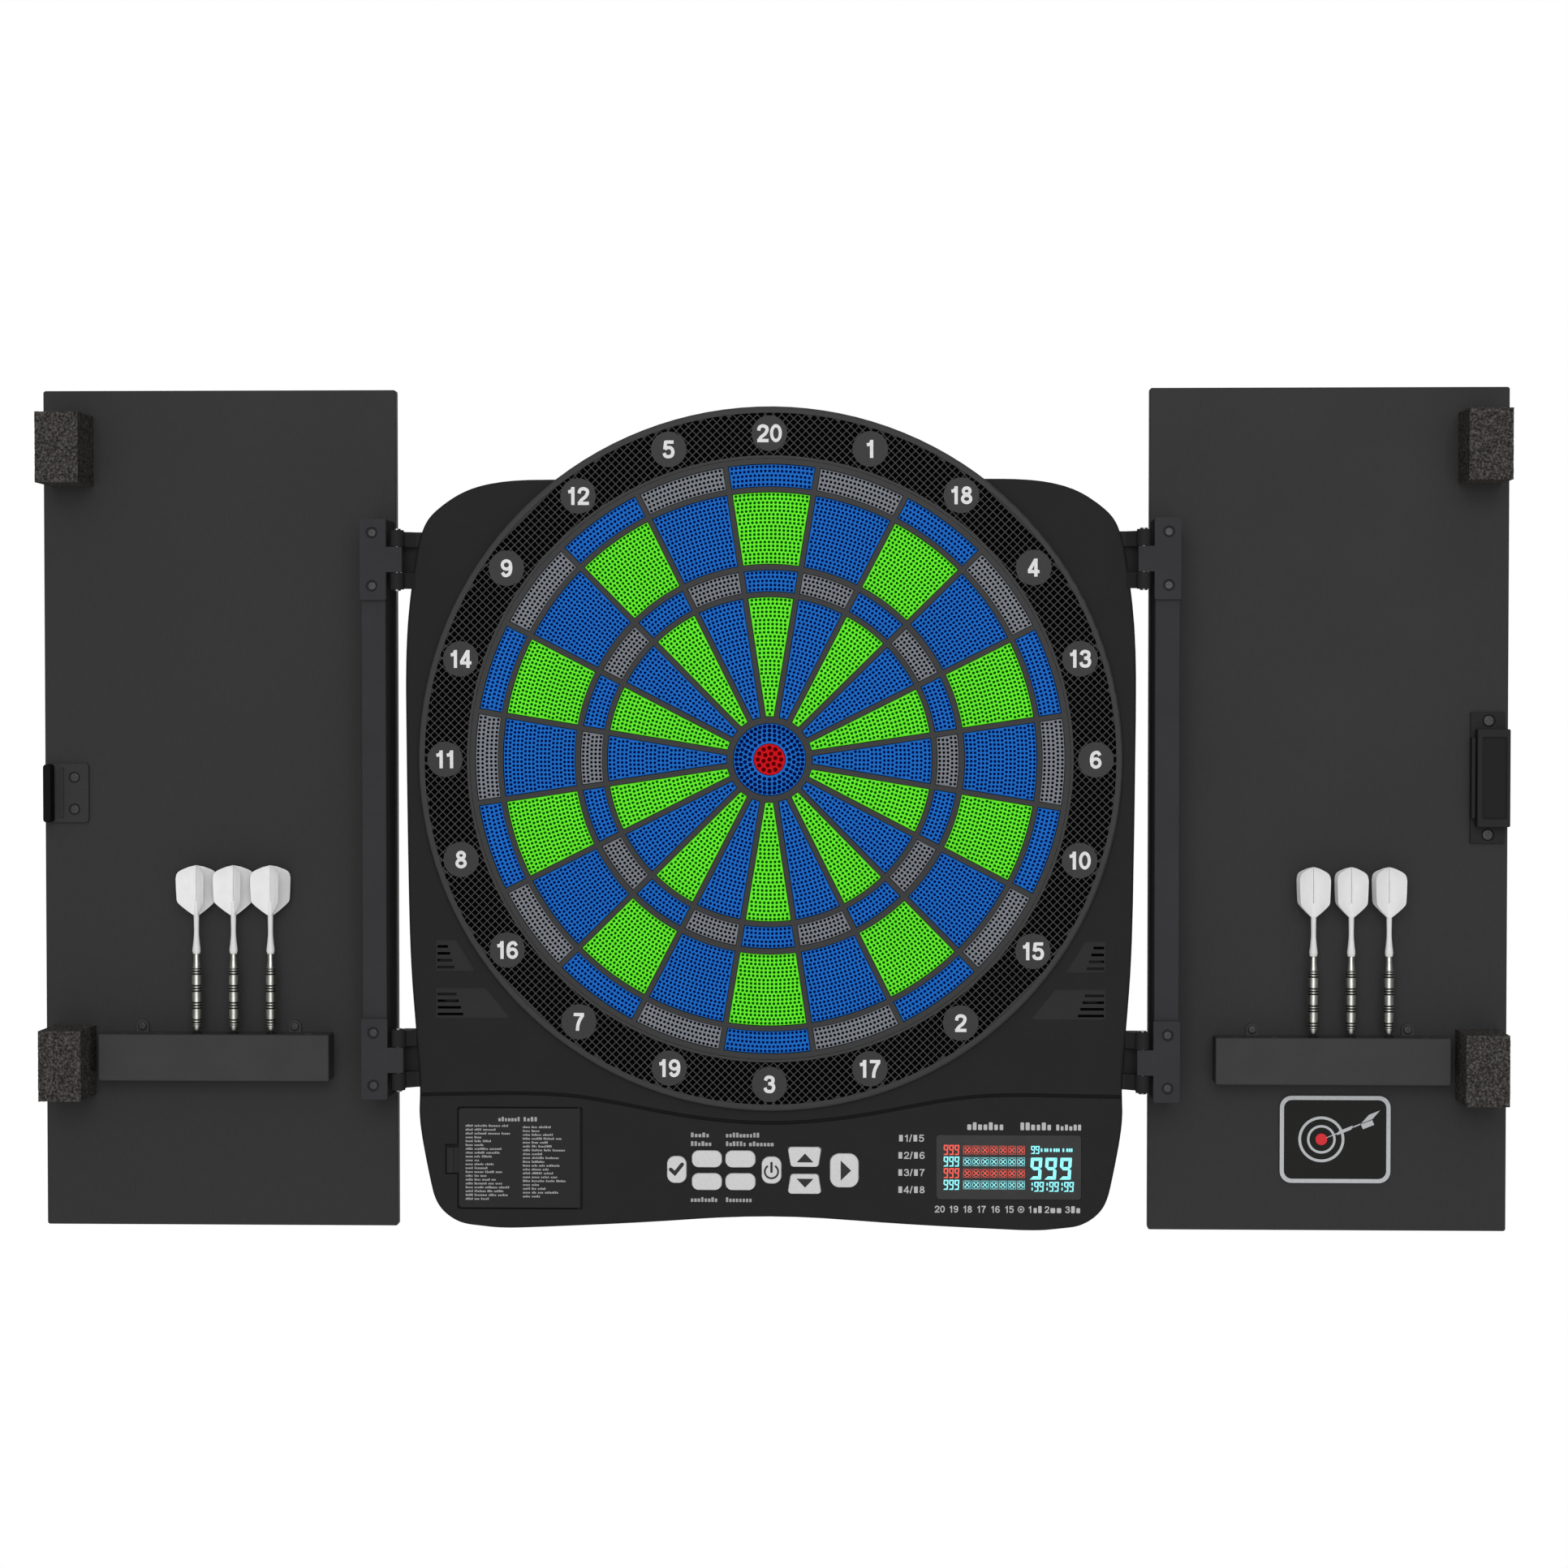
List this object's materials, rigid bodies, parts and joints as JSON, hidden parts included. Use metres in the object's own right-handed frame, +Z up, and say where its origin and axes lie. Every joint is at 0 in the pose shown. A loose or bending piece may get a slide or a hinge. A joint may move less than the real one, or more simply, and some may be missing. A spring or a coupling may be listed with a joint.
{
  "type": "dartboard cabinet",
  "caption": "Wall-mounted electronic dartboard with two hinged cabinet doors standing open, dart holders, foam bumpers, magnetic catch and a button panel with a display.",
  "frame": {"origin": "on the wall plane, at the centre of the four wall-screw holes, straight behind the bull", "axes": "+X to the right seen from the front, +Y back into the wall, +Z up"},
  "size_m": [0.8644, 0.051, 0.4957],
  "materials": {
    "casing": "fine satin moulded grain",
    "number_ring": "fine satin, crosshatched floor",
    "spider": "satin",
    "segment_blue": "satin, drilled with a grid of small holes",
    "segment_green": "satin, drilled with a grid of small holes",
    "segment_grey": "satin, drilled with a grid of small holes",
    "segment_red": "satin, drilled with a grid of small holes",
    "membrane": "printed film",
    "soft_pad": "dense foam",
    "circuit": "solder mask",
    "display": "dark display glass",
    "window": "clear window",
    "rubber": "moulded rubber",
    "speaker": "paper cone in a basket",
    "contact_metal": "nickel plated",
    "battery": "plain jacket",
    "screw_steel": "zinc plated",
    "pin_steel": "blackened",
    "button": "satin light grey",
    "door_panel": "black laminated fibreboard",
    "door_rail": "satin",
    "black_screw": "black oxide",
    "foam": "open-cell foam, speckled",
    "dart_holder": "satin",
    "strike_steel": "black enamel",
    "magnet_case": "satin",
    "magnet": "ferrite",
    "badge": "satin black with a light grey border",
    "dart": "turned barrel with white plastic shaft and flight",
    "dart_white": "white plastic of a dart's flight and shaft"
  },
  "bodies": {
    "board": {"back_shell": "casing", "front_shell": "casing", "hinge_brackets": "casing", "number_ring": "number_ring", "target_spider": "spider", "sensor_membrane": "membrane", "backing_pad": "soft_pad", "support_plate": "casing", "main_circuit_board": "circuit", "lcd_module": "display", "lcd_window": "window", "button_mat": "rubber", "speakers": "speaker", "battery_box_and_jack": "casing", "battery_contacts": "contact_metal", "batteries": "battery", "shell_screws": "screw_steel", "hinge_pins": "pin_steel"},
    "segments_double_blue": {"segments_double_blue": "segment_blue"},
    "segments_double_grey": {"segments_double_grey": "segment_grey"},
    "segments_outer_single_green": {"segments_outer_single_green": "segment_green"},
    "segments_outer_single_blue": {"segments_outer_single_blue": "segment_blue"},
    "segments_triple_blue": {"segments_triple_blue": "segment_blue"},
    "segments_triple_grey": {"segments_triple_grey": "segment_grey"},
    "segments_inner_single_green": {"segments_inner_single_green": "segment_green"},
    "segments_inner_single_blue": {"segments_inner_single_blue": "segment_blue"},
    "bull_outer": {"bull_outer": "segment_blue"},
    "bull_inner": {"bull_inner": "segment_red"},
    "button_check": {"button_check": "button"},
    "button_upper_left": {"button_upper_left": "button"},
    "button_upper_middle": {"button_upper_middle": "button"},
    "button_lower_left": {"button_lower_left": "button"},
    "button_lower_middle": {"button_lower_middle": "button"},
    "button_power": {"button_power": "button"},
    "button_up": {"button_up": "button"},
    "button_down": {"button_down": "button"},
    "button_next": {"button_next": "button"},
    "game_list_flap": {"game_list_flap": "casing"},
    "left_door": {"left_door_panel": "door_panel", "left_hinge_rail": "door_rail", "left_hinge_straps": "door_rail", "left_door_screws": "black_screw", "left_foam_pads": "foam", "left_dart_holder": "dart_holder", "left_strike_plate": "strike_steel"},
    "right_door": {"right_door_panel": "door_panel", "right_hinge_rail": "door_rail", "right_hinge_straps": "door_rail", "right_door_screws": "black_screw", "right_foam_pads": "foam", "right_dart_holder": "dart_holder", "right_magnet_housing": "magnet_case", "right_magnets": "magnet", "right_badge": "badge"},
    "left_dart_a": {"left_dart_a": "dart"},
    "left_dart_b": {"left_dart_b": "dart"},
    "left_dart_c": {"left_dart_c": "dart"},
    "right_dart_a": {"right_dart_a": "dart"},
    "right_dart_b": {"right_dart_b": "dart"},
    "right_dart_c": {"right_dart_c": "dart"}
  },
  "joints": [
    {"name": "left_door_hinge", "type": "hinge", "parent": "board", "child": "left_door", "pos_m": [-0.2164, -0.047, 0], "axis": [0, 0, 1], "range_deg": [0, 180]},
    {"name": "right_door_hinge", "type": "hinge", "parent": "board", "child": "right_door", "pos_m": [0.2164, -0.047, 0], "axis": [0, 0, -1], "range_deg": [0, 180]},
    {"name": "game_list_flap_hinge", "type": "hinge", "parent": "board", "child": "game_list_flap", "pos_m": [-0.1119, -0.0373, -0.2335], "axis": [0, 0, 1], "range_deg": [0, 33]},
    {"name": "button_check_press", "type": "slide", "parent": "board", "child": "button_check", "axis": [0, 1, 0], "range_m": [0, 0.0012], "stiffness_N_per_m": 400},
    {"name": "button_upper_left_press", "type": "slide", "parent": "board", "child": "button_upper_left", "axis": [0, 1, 0], "range_m": [0, 0.0012], "stiffness_N_per_m": 400},
    {"name": "button_upper_middle_press", "type": "slide", "parent": "board", "child": "button_upper_middle", "axis": [0, 1, 0], "range_m": [0, 0.0012], "stiffness_N_per_m": 400},
    {"name": "button_lower_left_press", "type": "slide", "parent": "board", "child": "button_lower_left", "axis": [0, 1, 0], "range_m": [0, 0.0012], "stiffness_N_per_m": 400},
    {"name": "button_lower_middle_press", "type": "slide", "parent": "board", "child": "button_lower_middle", "axis": [0, 1, 0], "range_m": [0, 0.0012], "stiffness_N_per_m": 400},
    {"name": "button_power_press", "type": "slide", "parent": "board", "child": "button_power", "axis": [0, 1, 0], "range_m": [0, 0.0012], "stiffness_N_per_m": 400},
    {"name": "button_up_press", "type": "slide", "parent": "board", "child": "button_up", "axis": [0, 1, 0], "range_m": [0, 0.0012], "stiffness_N_per_m": 400},
    {"name": "button_down_press", "type": "slide", "parent": "board", "child": "button_down", "axis": [0, 1, 0], "range_m": [0, 0.0012], "stiffness_N_per_m": 400},
    {"name": "button_next_press", "type": "slide", "parent": "board", "child": "button_next", "axis": [0, 1, 0], "range_m": [0, 0.0012], "stiffness_N_per_m": 400},
    {"name": "segments_double_blue_press", "type": "slide", "parent": "board", "child": "segments_double_blue", "axis": [0, 1, 0], "range_m": [0, 0.0006], "stiffness_N_per_m": 2000},
    {"name": "segments_double_grey_press", "type": "slide", "parent": "board", "child": "segments_double_grey", "axis": [0, 1, 0], "range_m": [0, 0.0006], "stiffness_N_per_m": 2000},
    {"name": "segments_outer_single_green_press", "type": "slide", "parent": "board", "child": "segments_outer_single_green", "axis": [0, 1, 0], "range_m": [0, 0.0006], "stiffness_N_per_m": 2000},
    {"name": "segments_outer_single_blue_press", "type": "slide", "parent": "board", "child": "segments_outer_single_blue", "axis": [0, 1, 0], "range_m": [0, 0.0006], "stiffness_N_per_m": 2000},
    {"name": "segments_triple_blue_press", "type": "slide", "parent": "board", "child": "segments_triple_blue", "axis": [0, 1, 0], "range_m": [0, 0.0006], "stiffness_N_per_m": 2000},
    {"name": "segments_triple_grey_press", "type": "slide", "parent": "board", "child": "segments_triple_grey", "axis": [0, 1, 0], "range_m": [0, 0.0006], "stiffness_N_per_m": 2000},
    {"name": "segments_inner_single_green_press", "type": "slide", "parent": "board", "child": "segments_inner_single_green", "axis": [0, 1, 0], "range_m": [0, 0.0006], "stiffness_N_per_m": 2000},
    {"name": "segments_inner_single_blue_press", "type": "slide", "parent": "board", "child": "segments_inner_single_blue", "axis": [0, 1, 0], "range_m": [0, 0.0006], "stiffness_N_per_m": 2000},
    {"name": "bull_outer_press", "type": "slide", "parent": "board", "child": "bull_outer", "axis": [0, 1, 0], "range_m": [0, 0.0006], "stiffness_N_per_m": 2000},
    {"name": "bull_inner_press", "type": "slide", "parent": "board", "child": "bull_inner", "axis": [0, 1, 0], "range_m": [0, 0.0006], "stiffness_N_per_m": 2000},
    {"name": "left_dart_a_lift", "type": "slide", "parent": "left_door", "child": "left_dart_a", "axis": [0, 0, 1], "range_m": [0, 0.04]},
    {"name": "left_dart_b_lift", "type": "slide", "parent": "left_door", "child": "left_dart_b", "axis": [0, 0, 1], "range_m": [0, 0.04]},
    {"name": "left_dart_c_lift", "type": "slide", "parent": "left_door", "child": "left_dart_c", "axis": [0, 0, 1], "range_m": [0, 0.04]},
    {"name": "right_dart_a_lift", "type": "slide", "parent": "right_door", "child": "right_dart_a", "axis": [0, 0, 1], "range_m": [0, 0.04]},
    {"name": "right_dart_b_lift", "type": "slide", "parent": "right_door", "child": "right_dart_b", "axis": [0, 0, 1], "range_m": [0, 0.04]},
    {"name": "right_dart_c_lift", "type": "slide", "parent": "right_door", "child": "right_dart_c", "axis": [0, 0, 1], "range_m": [0, 0.04]}
  ]
}
